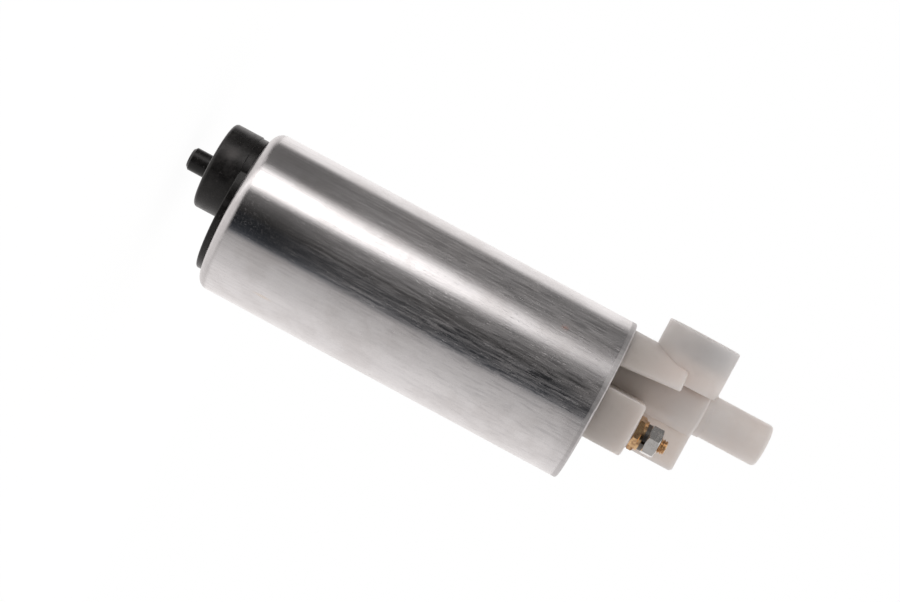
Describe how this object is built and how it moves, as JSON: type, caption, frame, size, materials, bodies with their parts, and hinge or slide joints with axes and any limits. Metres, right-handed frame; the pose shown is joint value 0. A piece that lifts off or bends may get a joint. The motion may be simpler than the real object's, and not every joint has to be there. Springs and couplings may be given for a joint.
{
  "type": "electric fuel pump",
  "caption": "In-tank electric fuel pump: aluminium can, offset inlet boss and locating pin, moulded outlet head with spigot, side boss and screw terminals.",
  "frame": {"origin": "on the can's axis, halfway along the can", "axes": "+Z along the can's axis towards the outlet, side boss towards -X, the terminal in view towards -Y"},
  "size_m": [0.0484, 0.043, 0.1591],
  "materials": {
    "can_aluminium": "drawn, satin, fine lengthwise lines",
    "black_plastic": "moulded, low gloss",
    "white_plastic": "moulded, translucent off-white",
    "seal_rubber": "smooth",
    "valve_rubber": "smooth",
    "brass": "turned",
    "pump_steel": "ground",
    "sintered_steel": "sintered and ground",
    "bright_steel": "ground bright",
    "bush_bronze": "sintered bronze",
    "magnet_ferrite": "fired ferrite, matt",
    "spring_steel": "drawn wire and strip",
    "dark_steel": "phosphated",
    "lamination_steel": "stacked sheet",
    "winding_copper": "enamelled wire",
    "dark_resin": "moulded",
    "copper": "turned",
    "brush_carbon": "pressed carbon",
    "plated_steel": "zinc plated"
  },
  "bodies": {
    "pump_body": {"housing_can": "can_aluminium", "inlet_cover": "black_plastic", "inlet_seal": "seal_rubber", "inlet_plate": "pump_steel", "pump_ring": "pump_steel", "outlet_plate": "pump_steel", "dowel_pins": "bright_steel", "lower_bush": "bush_bronze", "lower_thrust_washer": "bright_steel", "upper_thrust_washer": "bright_steel", "upper_bush": "bush_bronze", "flux_ring": "pump_steel", "left_magnet": "magnet_ferrite", "right_magnet": "magnet_ferrite", "front_magnet_clip": "spring_steel", "rear_magnet_clip": "spring_steel", "outlet_head": "white_plastic", "head_seal": "seal_rubber", "check_valve_seat": "brass", "check_valve_spring": "spring_steel", "relief_spring": "spring_steel", "relief_cap": "white_plastic", "front_brush_spring": "spring_steel", "front_contact_strip": "brass", "front_stud": "brass", "front_base_nut": "brass", "front_plain_washer": "brass", "front_spring_washer": "dark_steel", "front_terminal_nut": "plated_steel", "rear_brush_spring": "spring_steel", "rear_contact_strip": "brass", "rear_stud": "brass", "rear_base_nut": "brass", "rear_plain_washer": "brass", "rear_spring_washer": "dark_steel", "rear_terminal_nut": "plated_steel"},
    "armature": {"shaft": "bright_steel", "armature_core": "lamination_steel", "armature_windings": "winding_copper", "commutator_hub": "dark_resin", "commutator_segments": "copper", "inner_rotor": "sintered_steel"},
    "outer_rotor": {"outer_rotor": "sintered_steel"},
    "front_brush": {"front_brush": "brush_carbon"},
    "rear_brush": {"rear_brush": "brush_carbon"},
    "check_valve": {"check_valve_poppet": "valve_rubber"},
    "relief_valve": {"relief_ball": "bright_steel"}
  },
  "joints": [
    {"name": "armature_spin", "type": "hinge", "parent": "pump_body", "child": "armature", "pos_m": [0, 0, 0], "axis": [0, 0, 1], "continuous": true},
    {"name": "outer_rotor_spin", "type": "hinge", "parent": "pump_body", "child": "outer_rotor", "pos_m": [0.0009, -0.00079, 0], "axis": [0, 0, 1], "continuous": true},
    {"name": "front_brush_slide", "type": "slide", "parent": "pump_body", "child": "front_brush", "axis": [0, 0, 1], "range_m": [0, 0.003], "stiffness_N_per_m": 400, "springref_m": -0.006, "deforming": ["front_brush_spring"]},
    {"name": "rear_brush_slide", "type": "slide", "parent": "pump_body", "child": "rear_brush", "axis": [0, 0, 1], "range_m": [0, 0.003], "stiffness_N_per_m": 400, "springref_m": -0.006, "deforming": ["rear_brush_spring"]},
    {"name": "check_valve_slide", "type": "slide", "parent": "pump_body", "child": "check_valve", "axis": [0, 0, 1], "range_m": [0, 0.003], "stiffness_N_per_m": 150, "springref_m": -0.003, "deforming": ["check_valve_spring"]},
    {"name": "relief_valve_slide", "type": "slide", "parent": "pump_body", "child": "relief_valve", "axis": [-1, 0, 0], "range_m": [0, 0.0015], "stiffness_N_per_m": 1500, "springref_m": -0.0028, "deforming": ["relief_spring"]}
  ],
  "couplings": [
    {"joint": "outer_rotor_spin", "follows": "armature_spin", "ratio": 0.85714}
  ]
}
